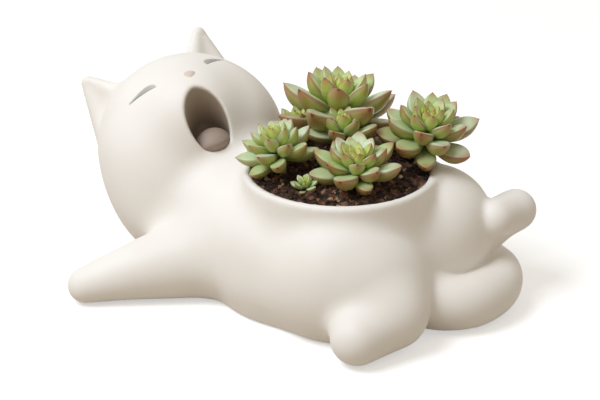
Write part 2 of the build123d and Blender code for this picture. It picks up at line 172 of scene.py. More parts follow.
# %% [markdown]
# ## Light, floor and background
# The picture is lit like a product shot: one broad soft lamp high on the left, and white all
# round. The floor and the world show as plain white to the camera, through Light Path, so the
# background is clean without more light on the cat. The floor keeps the cat's soft shadow.


# %% World, lamps and floor
def any_ray(tree, *kinds):
    """1 for rays of any of these kinds, and 0 for others."""
    rays = add_node(tree, "ShaderNodeLightPath").outputs
    found = rays[kinds[0]]
    for kind in kinds[1:]:
        found = feed(tree, "ShaderNodeMath", {0: found, 1: rays[kind]}, operation="MAXIMUM")
    return found


def lamp(name, place, target, size, power, tint):
    """Adds a square area lamp at a place, aimed at a target."""
    data = bpy.data.lights.new(name, "AREA")
    data.size = size
    data.energy = power
    data.color = colour(tint)[:3]
    aim = (Vector(target) - Vector(place)).to_track_quat("-Z", "Y").to_matrix().to_4x4()
    new_object(name, data).matrix_world = Matrix.Translation(place) @ aim


key_place = -to_right * 0.70 + Vector((0, 0, 1.08)) - onward * 0.42
lamp("key_lamp", key_place, target=(-0.03, 0.0, 0.05), size=0.70, power=15.5, tint="#ECF4FF")

world = bpy.data.worlds.new("studio")
bpy.context.scene.world = world
world.use_nodes = True
sky = world.node_tree
sky.nodes.clear()
bare = any_ray(sky, "Is Camera Ray", "Is Glossy Ray", "Is Transmission Ray")
fill = feed(sky, "ShaderNodeBackground", {"Color": colour("#FFF4E2"), "Strength": 0.47})
white = feed(sky, "ShaderNodeBackground", {"Color": (1, 1, 1, 1), "Strength": 1.0})
sky_mix = feed(sky, "ShaderNodeMixShader", {0: bare, 1: fill, 2: white})
add_node(sky, "ShaderNodeOutputWorld", {"Surface": sky_mix})

floor_paint, paper = new_material("white_paper_floor")
bare = any_ray(paper, "Is Camera Ray", "Is Glossy Ray")
plain = feed(paper, "ShaderNodeBsdfDiffuse", {"Color": colour("#BFB3A2")})
glow = feed(paper, "ShaderNodeEmission", {"Color": (1, 1, 1, 1), "Strength": 0.48})
shaded = feed(paper, "ShaderNodeBsdfDiffuse", {"Color": (0.75, 0.75, 0.75, 1)})
lit = feed(paper, "ShaderNodeAddShader", {0: glow, 1: shaded})
paper_mix = feed(paper, "ShaderNodeMixShader", {0: bare, 1: plain, 2: lit})
add_node(paper, "ShaderNodeOutputMaterial", {"Surface": paper_mix})

floor_half = 3.0
floor_height = -0.0002
floor_mesh = bpy.data.meshes.new("floor")
floor_spots = ((-1, -1), (1, -1), (1, 1), (-1, 1))
floor_corners = [(x * floor_half, y * floor_half, floor_height) for x, y in floor_spots]
floor_mesh.from_pydata(floor_corners, [], [(0, 1, 2, 3)])
floor_mesh.materials.append(floor_paint)
floor_object = new_object("floor", floor_mesh)
bpy.context.scene.view_settings.view_transform = "Standard"
print("key lamp at", [round(c, 3) for c in key_place])

# %% [markdown]
# ## The casting's form
# On the real cat the limbs, the head and the pot run into each other with no seam, because
# the clay joints were smoothed before firing. Such a form is hard to build from patches, but
# easy to describe by a distance: a function that is negative inside, positive outside, and
# zero on the surface. Two forms join softly when their distances are mixed where they are
# nearly the same. All lengths in these functions are in millimetres.


# %% Distances of simple forms
def unit(line, *others):
    """A direction of length 1, made square to the others one by one."""
    for other in others:
        line = line - (line @ other) * other
    return line / np.linalg.norm(line)


def soft_join(a, b, blend):
    """The union of two forms, with the crease between them filled over a width."""
    share = np.clip(0.5 + 0.5 * (b - a) / blend, 0, 1)
    return b + (a - b) * share - blend * share * (1 - share)


def soft_cut(a, b, blend):
    """Form a without form b, with the edge rounded over a width."""
    return -soft_join(-a, b, blend)


def egg(points, middle, axis, half_length, radius):
    """An ellipse turned about an axis."""
    offset = points - np.array(middle, np.float32)
    axis = np.array(axis, np.float32) / np.linalg.norm(axis)
    along = offset @ axis
    out = np.sqrt(np.maximum((offset * offset).sum(1) - along * along, 0))
    near = np.sqrt((along / half_length) ** 2 + (out / radius) ** 2)
    steep = np.sqrt((along / half_length**2) ** 2 + (out / radius**2) ** 2)
    return near * (near - 1) / np.maximum(steep, 1e-6)


def limb(points, start, end, start_radius, end_radius):
    """A round limb that tapers from one place to another."""
    start, end = np.array(start, np.float32), np.array(end, np.float32)
    offset, run = points - start, end - start
    share = np.clip(offset @ run / (run @ run), 0, 1)
    radius = start_radius + (end_radius - start_radius) * share
    return np.linalg.norm(offset - share[:, None] * run, axis=1) - radius


def curve_through(stops, count):
    """Places and radii along a smooth curve through the stops."""
    rows = np.array([list(place) + [radius] for place, radius in stops], float)
    rows = np.concatenate([[2 * rows[0] - rows[1]], rows, [2 * rows[-1] - rows[-2]]])
    found = []
    for share in np.linspace(0, len(rows) - 3, count):
        k = min(int(share), len(rows) - 4)
        t = share - k
        a, b, c, d = rows[k : k + 4]
        cubic = (3 * b - a - 3 * c + d) * t**3
        found.append(0.5 * (2 * b + (c - a) * t + (2 * a - 5 * b + 4 * c - d) * t**2 + cubic))
    return np.array(found)


far_off = 24.0  # a distance at which no join takes effect


def bent_limb(points, stops, count=30):
    """A round limb that follows a smooth curve through its stops, worked out only near it."""
    row = curve_through(stops, count)
    margin = row[:, 3].max() + far_off
    low, high = row[:, :3].min(0) - margin, row[:, :3].max(0) + margin
    close = ((points > low) & (points < high)).all(1)
    form = np.full(len(points), far_off, np.float32)
    part = points[close]
    near = np.full(len(part), np.inf, np.float32)
    for a, b in zip(row, row[1:]):
        near = np.minimum(near, limb(part, a[:3], b[:3], a[3], b[3]))
    form[close] = near
    return form


def drum(points, radius, low, high, rounding):
    """An upright drum on the pot's own axis, with rounded edges."""
    out = np.hypot(points[:, 0], points[:, 1]) - radius + rounding
    up = np.abs(points[:, 2] - (low + high) / 2) - (high - low) / 2 + rounding
    return np.minimum(np.maximum(out, up), 0) + np.hypot(np.maximum(out, 0), np.maximum(up, 0)) - rounding


def with_eggs(form, points, eggs):
    """A form joined with eggs, each given as middle, axis, half length, radius and blend."""
    for middle, axis, half_length, radius, blend_width in eggs:
        form = soft_join(form, egg(points, middle, axis, half_length, radius), blend_width)
    return form


probe = np.array([[0, 0, 0], [30, 0, 0]], np.float32)
print("egg distances at its middle and outside:", egg(probe, (0, 0, 0), (1, 0, 0), 20, 10).round(1))

# %% [markdown]
# ## The head's own directions
# The head is thrown back and turned to the viewer. Its features are easier to place in the
# head's own directions: towards the chin, from ear to ear, and out of the face to the nose.

# %% Head frame
head_middle = np.array([-109.0, 1.0, 69.5])
ear_line = unit(np.array([0.494, 0.818, 0.294]))
face_line = unit(np.array([0.236, -0.451, 0.861]), ear_line)
chin_line = np.cross(ear_line, face_line)
head_turn = np.stack([chin_line, ear_line, face_line], 1).astype(np.float32)


def on_head(points):
    """Body points in the head's directions."""
    return (points - head_middle.astype(np.float32)) @ head_turn


def off_head(points):
    """Head points back in the body's directions."""
    return np.asarray(points, float) @ head_turn.T.astype(float) + head_middle


print("the chin points towards", chin_line.round(2))

# %% [markdown]
# ## Ears
# Each ear is a flat triangle of clay with a rounded tip, scooped out at the front.


# %% Ear form
ear_root = (-34.5, 31.0, 8.0)
ear_tip = (-56.0, 37.2, 15.2)
ear_across = (0.15, 0.72, -0.65)
ear_half_widths = (16.5, 2.6)
ear_half_depths = (6.5, 2.4)
ear_below = 12.0
ear_rim = 3.6
ear_rounding = 2.0


def ear(q, side):
    """One ear in the head's directions; side is -1 for the near one and 1 for the far one."""
    mirror = np.array([1.0, side, 1.0])
    root, tip, across = (np.array(row) * mirror for row in (ear_root, ear_tip, ear_across))
    rise = tip - root
    length = np.linalg.norm(rise)
    rise /= length
    across = unit(across, rise)
    front = np.cross(rise, across)
    front *= np.sign(front[2])
    offset = q - root.astype(np.float32)
    up, wide, deep = (offset @ line.astype(np.float32) for line in (rise, across, front))
    share = np.clip(up / length, -0.6, 1.0)
    half_width, half_depth = (a * (1 - share) + b * share for a, b in (ear_half_widths, ear_half_depths))
    form = np.sqrt((wide / half_width) ** 2 + (deep / half_depth) ** 2) - 1
    form = form * np.minimum(half_width, half_depth) * 0.8
    form = soft_cut(form, -(up - length), ear_rounding)
    form = soft_cut(form, up + ear_below, ear_rounding)
    scoop_width = np.maximum(half_width - ear_rim, 0.5)
    scoop_depth = (deep - half_depth - 2.0) / (half_depth * 0.8)
    scoop = (np.sqrt((wide / scoop_width) ** 2 + scoop_depth**2) - 1) * scoop_width * 0.4
    scoop = np.maximum(scoop, up - length + 5.0)
    return soft_cut(form, scoop, 1.5)


print("ear distance at its middle, mm:", ear(np.array([[-45, 34, 11.5]], np.float32), 1).round(1))

# %% [markdown]
# ## Head, mouth and eyes
# The skull is wider than it is deep, with a cheek on each side and a muzzle that the yawn
# pulls up. The mouth is a deep pear-shaped hollow: narrow under the nose, wide at the chin.
# Each closed eye is a crescent pressed into the clay: it sinks slowly from the brow and comes
# back in one sharp step at the lashes.


# %% Head form
lip_stops = [(13.0, 6.2), (14.6, 9.8), (18.2, 13.2), (23.6, 15.6), (29.4, 16.0)]
lip_stops += [(34.2, 14.8), (38.2, 11.8), (39.9, 7.2), (39.2, 2.2), (37.0, -2.0)]
lip_stops += [(33.2, -4.8), (28.2, -5.6), (22.9, -4.4), (18.2, -1.6), (14.6, 2.2)]
lip_row = curve_through([((a, b, 0), 0) for a, b in lip_stops[-1:] + lip_stops + lip_stops[:2]], 68)
lip_row = lip_row[(np.arange(len(lip_row)) >= 4) & (np.arange(len(lip_row)) <= 64), :2].astype(np.float32)


def inside_lip(q):
    """The distance to the mouth's outline, seen straight into the face; negative inside."""
    near = np.full(len(q), 1e9, np.float32)
    inside = np.zeros(len(q), bool)
    for a, b in zip(lip_row, np.roll(lip_row, -1, 0)):
        run = b - a
        offset = q[:, :2] - a
        share = np.clip(offset @ run / max(run @ run, 1e-9), 0, 1)
        near = np.minimum(near, ((offset - share[:, None] * run) ** 2).sum(1))
        crossing = (a[1] > q[:, 1]) != (b[1] > q[:, 1])
        if run[1] != 0:
            inside ^= crossing & (q[:, 0] < run[0] * (q[:, 1] - a[1]) / run[1] + a[0])
    return np.sqrt(near) * np.where(inside, -1, 1)


mouth_middle = (26, 5)
mouth_bottom = 9.0


def mouth_hollow(q):
    """The hollow of the mouth in the head's directions."""
    form = np.full(len(q), 40.0, np.float32)
    off = q[:, :2] - np.array(mouth_middle, np.float32)
    close = (np.abs(off) < 30).all(1) & (q[:, 2] > -5)
    part, off = q[close], off[close]
    bottom = mouth_bottom - part[:, 2] + (off[:, 0] ** 2 + off[:, 1] ** 2) / 22
    form[close] = -soft_join(-inside_lip(part), -bottom, 3.0)
    return form


near_eye_line = [(-5.9, -27.1, 37.8), (-4.9, -23.4, 39.9), (-4.7, -19.5, 41.8)]
near_eye_line += [(-3.5, -14.6, 44.1), (-1.8, -10.0, 46.4)]
far_eye_line = [(-6.2, 21.2, 41.2), (-9.7, 26.9, 37.2), (-11.3, 30.9, 34.0), (-13.9, 35.1, 29.3)]


def eye_frame(line):
    """Middle, direction along the lashes, direction to the brow, and half length of an eye."""
    line = np.array(line, float)
    middle = line.mean(0)
    half = np.linalg.norm(line[-1] - line[0]) / 2
    along = (line[-1] - line[0]) / (2 * half)
    towards_brow = unit(np.array([-1.0, 0.0, 0.0]), along, unit(middle), along)
    return (line[0] + line[-1]) / 2, along, towards_brow, half


eyes = [eye_frame(near_eye_line), eye_frame(far_eye_line)]
eye_width = 5.6
eye_depth = 1.2


def eye_sink(q):
    """How deep the closed eyes are pressed in, and how much grey-green colour and painted shade lie in
    their creases.
    """
    sink = np.zeros(len(q), np.float32)
    crease_tint_and_shade = np.zeros(len(q), np.float32)
    for number, (middle, along, to_brow, half) in enumerate(eyes):
        offset = q - middle.astype(np.float32)
        u = offset @ along.astype(np.float32) / half
        if number == 1:
            u = -u
        body = np.clip(1 - u * u, 0, 1)
        v = offset @ to_brow.astype(np.float32) - 0.9 * body + 0.6
        width = eye_width * np.sqrt(body) * (0.6 + 0.4 * u) + 0.05
        share = np.clip(1 - v / width, 0, 1) * (v > 0) + np.clip(1 + v / 0.6, 0, 1) * (v <= 0)
        here = (np.abs(u) < 1) & (q[:, 2] > 0)
        sink = np.maximum(sink, np.where(here, eye_depth * body**0.3 * share, 0))
        # painted shade with a grey-green tint, over the lid's slope and in a dark line at the lashes
        lid = np.clip(v / 0.5 + 1, 0, 1) * np.clip((width - v) / 0.8, 0, 1)
        line = np.exp(-(((v - 0.15) / 0.6) ** 2))
        crease_tint_and_shade = np.maximum(crease_tint_and_shade, np.where(here, body**0.4 * np.minimum(0.6 * lid + 0.6 * line, 1), 0))
    return sink, crease_tint_and_shade


skull = (50, 45.5)  # half the length from ear to ear, and the radius about it
head_eggs = [
    # near cheek, far cheek, jowl and muzzle
    ((12, -20, -5), (0, 1, 0), 32, 35, 14),
    ((12, 20, -5), (0, 1, 0), 32, 35, 14),
    ((23, -19, -21), (0, 1, 0), 34.5, 38.5, 14),
    ((12, 3, 33), (0.3, 0, 0.95), 17, 19, 17),
]


def head(points):
    """The whole head, with its ears, muzzle and pressed-in eyes, but not yet the mouth."""
    q = on_head(points)
    form = with_eggs(egg(q, (0, 0, 0), (0, 1, 0), *skull), q, head_eggs)
    for side in (-1, 1):
        form = soft_join(form, ear(q, side), 4)
    return form + eye_sink(q)[0]


print("eye half lengths, mm:", [round(float(e[3]), 1) for e in eyes])

# %% [markdown]
# ## Body, legs and tail
# The belly is a stack of ellipses that grows and shrinks with height. The chest, neck, thighs
# and haunch are eggs on it, and the rim is a drum. The legs and the tail are tapered limbs.

# %% Body form
rim_radius, well_radius, rim_height = 53, 48.5, 75
# height, middle, half length and half width of the belly
belly_rows = [(0, -14, 60, 56), (16, -14, 68, 62), (34, -14, 69, 62)]
belly_rows += [(50, -13, 64, 57), (60, -10, 56, 50), (rim_height, -6, 44, 38)]
belly_heights = np.linspace(0, rim_height, rim_height + 1)


def smooth_rows(rows, heights):
    """Rows of numbers at more heights, along a curve through them with natural ends."""
    at, values = rows[:, 0], rows[:, 1:]
    gaps = np.diff(at)
    slopes = np.diff(values, axis=0) / gaps[:, None]
    count = len(at)
    system = np.eye(count)
    right = np.zeros_like(values)
    for k in range(1, count - 1):
        system[k, k - 1 : k + 2] = gaps[k - 1], 2 * (gaps[k - 1] + gaps[k]), gaps[k]
        right[k] = 6 * (slopes[k] - slopes[k - 1])
    bend = np.linalg.solve(system, right)
    k = np.clip(np.searchsorted(at, heights) - 1, 0, count - 2)
    gap, low, high = gaps[k][:, None], (at[k + 1] - heights)[:, None], (heights - at[k])[:, None]
    return (
        bend[k] * low**3 / (6 * gap)
        + bend[k + 1] * high**3 / (6 * gap)
        + (values[k] / gap - bend[k] * gap / 6) * low
        + (values[k + 1] / gap - bend[k + 1] * gap / 6) * high
    )


belly_table = smooth_rows(np.array(belly_rows, float), belly_heights).astype(np.float32)


def belly(points, inset=0.0):
    """The belly's distance, drawn in by an inset."""
    height = np.clip(points[:, 2], 0, rim_height)
    low = np.minimum(height.astype(int), rim_height - 1)
    share = (height - low)[:, None]
    row = belly_table[low] * (1 - share) + belly_table[low + 1] * share
    x, y = points[:, 0] - row[:, 0], points[:, 1]
    a, b = row[:, 1] - inset, row[:, 2] - inset
    near = np.sqrt((x / a) ** 2 + (y / b) ** 2)
    steep = np.sqrt((x / a**2) ** 2 + (y / b**2) ** 2)
    round_wall = near * (near - 1) / np.maximum(steep, 1e-6) * 0.8
    return np.maximum(round_wall, np.maximum(points[:, 2] - rim_height, -points[:, 2] - 3))


foreleg_stops = [((-60, 38, 22), 25), ((-90, 73, 15), 15), ((-106, 91, 10), 10)]
hind_stops = [((53, -60, 14), 14), ((56, -47, 16), 15.5), ((58.5, -35, 19), 18)]
raised_stops = [((58, 46, 34), 15), ((66, 53, 41), 12.5), ((75.5, 60.5, 48), 10.5)]
tail_stops = [((52, -6, 16), 16), ((68, -1, 14.5), 15), ((79, 12, 14), 14.5)]
tail_stops += [((81, 32, 14), 13.5), ((73, 50, 14.5), 12), ((58, 61.5, 16), 9)]
body_eggs = [
    # chest, neck, thighs, rump and haunch
    ((-66, -2, 32), (0, 1, 0), 50, 44, 14),
    ((-88, -2, 34), (0, 1, 0), 36, 31, 12),
    ((18, -26, 30), (0, 0, 1), 42, 41.5, 6),
    ((18, 26, 30), (0, 0, 1), 42, 41.5, 6),
    ((41, -24, 24), (0, 0, 1), 29, 28, 14),
    ((45, 31, 40.5), (0, 0, 1), 34, 30, 16),
]


def body(points):
    """The body, legs and tail, with no hollow."""
    form = with_eggs(belly(points), points, body_eggs)
    form = soft_join(form, drum(points, rim_radius, -5, rim_height, 2), 5)
    # the clay that closes the slit between the haunch and the tail
    form = soft_join(form, limb(points, (58, 8, 9), (60, 38, 9), 14, 13), 4)
    for side in (-1, 1):
        leg = [((x, side * y, z), radius) for (x, y, z), radius in foreleg_stops]
        form = soft_join(form, bent_limb(points, leg), 9)
    form = soft_join(form, bent_limb(points, hind_stops), 10)
    foot = limb(points, (74, 41, 50), (75.5, 60.5, 48.5), 10.5, 10.5)
    form = soft_join(form, soft_join(bent_limb(points, raised_stops), foot, 4), 3)
    return soft_join(form, bent_limb(points, tail_stops, 40), 3.2)


print("belly half width at mid height, mm:", round(float(belly_table[37, 1]), 1))

# %% [markdown]
# ## The whole casting
# The head joins the body at the neck. Then the pot's hollow, the mouth and the two holes in
# the base are cut, and the base is ground flat.


# %% Whole casting
wall, floor_top, room_top = 5.0, 7.0, 68.0
base_holes = ((-14, 0, 5.0), (-66, -2, 2.0))
base_hole_top = 12


def pot_hollow(points):
    """The space for the soil: the belly less a wall, kept clear of the head, and the round well."""
    q = on_head(points)
    room = np.maximum(belly(points, wall), floor_top - points[:, 2])
    room = np.maximum(room, points[:, 2] - room_top)
    well = drum(points, well_radius, floor_top, 120, 1.0)
    room = soft_join(room, well, 1.0)
    room = np.maximum(room, -egg(q, (0, 0, 0), (0, 1, 0), skull[0] + wall, skull[1] + wall))
    return np.maximum(room, -egg(q, (12, 20, -5), (0, 1, 0), 39, 38.5))


def cat(points):
    """The distance to the finished casting's surface."""
    form = soft_join(body(points), head(points), 9)
    form = soft_cut(form, pot_hollow(points), 2.2)
    form = soft_cut(form, mouth_hollow(on_head(points)), 2.5)
    for x, y, radius in base_holes:
        hole = np.hypot(points[:, 0] - x, points[:, 1] - y) - radius
        hole = np.maximum(hole, points[:, 2] - base_hole_top)
        form = soft_cut(form, hole, 0.8)
    return soft_cut(form, points[:, 2], 2.5)


print("distance at the rim's lip, mm:", cat(np.array([[50.7, 0, 75.0]], np.float32)).round(2))

# %% [markdown]
# ## From a distance to a mesh
# The distance is sampled on a grid of small cells. Each cell that the surface passes through
# gets one point, and each grid edge that it crosses gets one four-sided face between the
# points of the cells round it. Then each point slides along the slope of the distance until
# it lies on the surface.


# %% Surface mesh from a distance
def net(distance, low, high, step):
    """Points and four-sided faces of the surface where a distance is zero."""
    axes = [np.arange(a, b, step, dtype=np.float32) for a, b in zip(low, high)]
    places = np.stack(np.meshgrid(*axes, indexing="ij"), -1)
    slabs = np.array_split(places, 12)
    values = np.concatenate([distance(slab.reshape(-1, 3)).reshape(slab.shape[:3]) for slab in slabs])
    inside = values < 0
    sizes = np.array(values.shape) - 1
    corners = [(i, j, k) for i in (0, 1) for j in (0, 1) for k in (0, 1)]

    def shifted(grid, corner):
        i, j, k = corner
        return grid[i : i + sizes[0], j : j + sizes[1], k : k + sizes[2]]

    count = sum(shifted(inside, corner).astype(np.int8) for corner in corners)
    crossed = (count > 0) & (count < 8)
    number = np.full(crossed.shape, -1)
    number[crossed] = np.arange(crossed.sum())
    total = np.zeros((crossed.sum(), 3), np.float32)
    hits = np.zeros(crossed.sum(), np.float32)
    for a in corners:
        for axis in range(3):
            if a[axis] == 1:
                continue
            b = tuple(c + (n == axis) for n, c in enumerate(a))
            start, end = shifted(values, a)[crossed], shifted(values, b)[crossed]
            cut = (start < 0) != (end < 0)
            share = np.where(cut, start / np.where(cut, start - end, 1), 0)
            total[cut] += (np.array(a, np.float32) + share[:, None] * (np.array(b) - np.array(a)))[cut]
            hits += cut
    points = (np.argwhere(crossed) + total / hits[:, None]) * step + np.array(low)
    faces = []
    for axis in range(3):
        u, v = (axis + 1) % 3, (axis + 2) % 3
        ahead = tuple(slice(1, None) if n == axis else slice(None) for n in range(3))
        behind = tuple(slice(None, -1) if n == axis else slice(None) for n in range(3))
        change = np.argwhere(inside[ahead] != inside[behind])
        change = change[(change[:, [u, v]] > 0).all(1) & (change[:, [u, v]] < sizes[[u, v]]).all(1)]
        outward = inside[behind][tuple(change.T)]
        ring = []
        for du, dv in ((-1, -1), (0, -1), (0, 0), (-1, 0)):
            cell = change.copy()
            cell[:, u] += du
            cell[:, v] += dv
            ring.append(number[tuple(cell.T)])
        quads = np.stack(ring, 1)
        quads[~outward] = quads[~outward][:, ::-1]
        faces.append(quads)
    return points, np.concatenate(faces)


def settle(distance, points, rounds=3, reach=1.5):
    """Slides points along the slope of a distance until they lie on its surface."""
    points = points.astype(np.float32)
    for _ in range(rounds):
        here = distance(points)
        slope = np.stack(
            [distance(points + d) - distance(points - d) for d in np.eye(3, dtype=np.float32) * 0.2], 1
        ) / 0.4
        move = here[:, None] * slope / np.maximum((slope * slope).sum(1), 0.05)[:, None]
        size = np.linalg.norm(move, axis=1, keepdims=True)
        points = points - move * np.minimum(1, reach / np.maximum(size, 1e-6))
    return points


def mesh_object(name, points, faces):
    """A Blender object from points in millimetres and faces, with smooth shading."""
    data = bpy.data.meshes.new(name)
    data.from_pydata((np.asarray(points, float) * MM).tolist(), [], np.asarray(faces).tolist())
    data.update()
    data.shade_smooth()
    return new_object(name, data)


def read_points(data):
    """A mesh's points in millimetres."""
    flat = np.empty(len(data.vertices) * 3, np.float32)
    data.vertices.foreach_get("co", flat)
    return flat.reshape(-1, 3) / MM


def write_points(data, points):
    """Puts points in millimetres back into a mesh."""
    data.vertices.foreach_set("co", (points * MM).astype(np.float32).ravel())
    data.update()


def split_faces(data, wanted):
    """Splits the faces whose middle a test wants, each into four."""
    work = bmesh.new()
    work.from_mesh(data)
    middles = np.array([face.calc_center_median() for face in work.faces], np.float32) / MM
    chosen = np.flatnonzero(wanted(middles))
    work.faces.ensure_lookup_table()
    edges = {edge for number in chosen for edge in work.faces[number].edges}
    bmesh.ops.subdivide_edges(work, edges=list(edges), cuts=1, use_grid_fill=True)
    work.to_mesh(data)
    work.free()


grid_step = 2.0
grid_low, grid_high = (-172, -112, -5), (104, 112, 124)
points, faces = net(cat, grid_low, grid_high, grid_step)
skin = mesh_object("cat_casting", settle(cat, points), faces)
print("casting before splitting:", len(points), "points,", len(faces), "faces")


# %% [markdown]
# ## Finer faces where the form is fine
# The mouth's lip and the fold at the tail get faces split once. The eyes are pressed only a
# millimetre deep, so the faces there are split up to three times.


# %% Finer faces
def near_eyes(points, reach):
    """Points that lie within a reach of either eye."""
    q = on_head(points)
    near = np.zeros(len(points), bool)
    for middle, along, to_brow, half in eyes:
        offset = q - middle.astype(np.float32)
        u = np.abs(offset @ along.astype(np.float32))
        near |= (u < half + reach) & (np.linalg.norm(offset, axis=1) < np.sqrt(half**2 + 16) + reach)
        near &= q[:, 2] > 15
    return near


def near_mouth(points):
    """Points near the mouth's lip."""
    q = on_head(points)
    return (np.abs(mouth_hollow(q)) < 3.0) & (q[:, 2] > 18)


def near_tail_fold(points):
    """Points in the fold where the tail passes under the haunch."""
    return np.linalg.norm(points - np.array([66, 22, 18], np.float32), axis=1) < 24


def settle_mesh(data):
    """Puts a mesh's points back on the casting."""
    write_points(data, settle(cat, read_points(data), 2))


split_faces(skin.data, lambda p: near_eyes(p, 3.0) | near_mouth(p) | near_tail_fold(p))
settle_mesh(skin.data)
split_faces(skin.data, lambda p: near_eyes(p, 1.5))
settle_mesh(skin.data)
split_faces(skin.data, lambda p: near_eyes(p, 0.5) & (sum(eye_sink(on_head(p))) > 0.03))
settle_mesh(skin.data)
skin.data.shade_smooth()
print("casting:", len(skin.data.vertices), "points")

# %% [markdown]
# ## The glaze
# The real surface is a matte, warm white glaze over pale stoneware. It has no gloss, only a
# faint broad sheen, and its colour drifts a little where the glaze was thicker. In the creases
# of the closed eyes the glaze is painted grey-green, partly as the creases' own colour and
# partly as painted shade. Deep in the mouth it is painted a darker warm grey as painted shade,
# more so the deeper the hollow goes. Both are painted from two attributes that are measured on
# the form itself.

# %% Attributes for the eye colour and painted shade
skin_points = read_points(skin.data)
skin_local = on_head(skin_points)
# grey-green colour and painted shade in the eye creases
lash_tint_and_shade = eye_sink(skin_local)[1] * (skin_local[:, 2] > 10)
in_mouth = (mouth_hollow(skin_local) < 0.9) & (skin_local[:, 2] > 5)
# painted shade that darkens the glaze more the deeper a point lies in the mouth's hollow
throat_shade = np.where(in_mouth, np.clip(0.9 - mouth_hollow(skin_local), 0, 1), 0)
for name, values in (("lash_tint_and_shade", lash_tint_and_shade), ("throat_shade", throat_shade)):
    layer = skin.data.attributes.new(name, "FLOAT", "POINT")
    layer.data.foreach_set("value", values.astype(np.float32))
print("points with wash:", int((lash_tint_and_shade > 0.2).sum()), "in the eyes,", int(in_mouth.sum()), "in the mouth")


# %% Glaze material
glaze, tree = new_material("matte_white_glaze_on_stoneware")
drift = spread(tree, noise(tree, 0.045, 2.0), 0.35, 0.65)
tint = blend(tree, drift, colour("#F2EEE8"), colour("#EEE9E2"))
# painted shade with a grey-green tint in the eye creases, and painted shade deep in the mouth
for name, code in (("lash_tint_and_shade", "#5F635A"), ("throat_shade", "#A69583")):
    mask = add_node(tree, "ShaderNodeAttribute", attribute_name=name)
    tint = blend(tree, mask.outputs["Fac"], tint, colour(code))
# glaze pores are finer than the render can show, so they are drawn 1.2 mm wide and very low
pores = noise(tree, 0.0012, 2.0)
coat(tree, {"Base Color": tint, "Roughness": 0.58, "IOR": 1.5}, pores, 0.05, 0.0002)
skin.data.materials.append(glaze)
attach(skin, "root")
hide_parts("pot_body", "head", "near_ear", "far_ear", "near_foreleg", "far_foreleg",
            "near_hind_paw", "raised_hind_leg", "tail")
print("casting glazed with", glaze.name)

# %% [markdown]
# ## Tongue and nose
# The tongue is a rounded lump of the same clay at the wide end of the mouth. Its glaze is
# painted a darker brown-grey: painted shade, for it lies deep in the mouth. The nose is a
# small pad, rounded and a little three-cornered, tinted pink-beige.


# %% Tongue and nose
def tongue_form(points):
    """The tongue: a round lump, kept inside the mouth's hollow."""
    q = on_head(points)
    lump = egg(q, (34.2, 4.8, 20.5), (0, 0, 1), 12.0, 11.4)
    return soft_cut(lump, -(mouth_hollow(q) - 0.6), 1.0)


def nose_form(points):
    """The nose pad, wide at the brow side and narrow at the lip side."""
    q = on_head(points)
    pad = egg(q, (2.8, 7.6, 48.0), (0, 1, 0), 5.0, 3.6)
    lip = egg(q, (6.6, 7.2, 48.0), (1, 0, 0), 4.4, 3.2)
    return soft_join(pad, lip, 2.5)


def small_piece(name, form, middle, reach, step):
    """A small piece meshed from its distance around a place on the head."""
    place = off_head([middle])[0]
    points, faces = net(form, place - reach, place + reach, step)
    return mesh_object(name, settle(form, points), faces)


tongue = small_piece("tongue_lump", tongue_form, middle=(33.5, 5.5, 24), reach=21, step=0.8)
nose = small_piece("nose_pad", nose_form, middle=(4, 7.4, 47.8), reach=11, step=0.5)

finish = {"Roughness": 0.6, "IOR": 1.5}
# the tongue's brown-grey is painted shade, darker than the white clay it is made of
paint = speckled("tongue_glaze_with_painted_shade", 0.006, 3.0, ("#A08F82", "#948273"), finish)
tongue.data.materials.append(paint)
finish = {"Roughness": 0.55, "IOR": 1.5}
paint = speckled("pink_beige_underglaze", 0.004, 2.0, ("#DDCCC1", "#D2C0B4"), finish)
nose.data.materials.append(paint)

for piece, node_name, slot_name in ((tongue, "tongue", "ceramic"), (nose, "nose", "nose_pad")):
    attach(piece, "root")
    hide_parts(node_name)
    print(piece.name, len(piece.data.polygons), "faces")

# %% [markdown]
# ## Potting soil
# The CAD soil fills the pot up to a low crown. Real potting soil is a crust of crumbs, bark
# chips and a few pale grains. A thin layer with an uneven top lies on the CAD soil, and
# Geometry Nodes scatter crumbs over it: points on the layer's faces, a small faceted lump on
# each, turned and sized at random, and then every corner of the lumps is pushed about by a
# noise, so that no two are alike.

# %% Sizes of the soil
soil_radius = 48.2
soil_edge = 71.0
soil_crown = 4.0
edge_fade = 3.0
layer_depth = 1.6
dome_radius = (soil_radius**2 + soil_crown**2) / (2 * soil_crown)


def soil_height(x, y):
    """The height of the CAD soil's low crown at a place, in millimetres."""
    square = dome_radius**2
    return soil_edge + soil_crown - dome_radius + np.sqrt(square - np.minimum(x * x + y * y, square))


def uneven(x, y, seed, waves=24, size=9.0):
    """A gentle random height made of crossing waves of about a given length."""
    pick = np.random.default_rng(seed)
    total = np.zeros_like(x)
    for _ in range(waves):
        way = pick.uniform(0, 2 * math.pi)
        pitch = size * pick.uniform(0.5, 1.6)
        across = x * math.cos(way) + y * math.sin(way)
        total += np.sin(across * 2 * math.pi / pitch + pick.uniform(0, 2 * math.pi))
    return total / math.sqrt(waves)


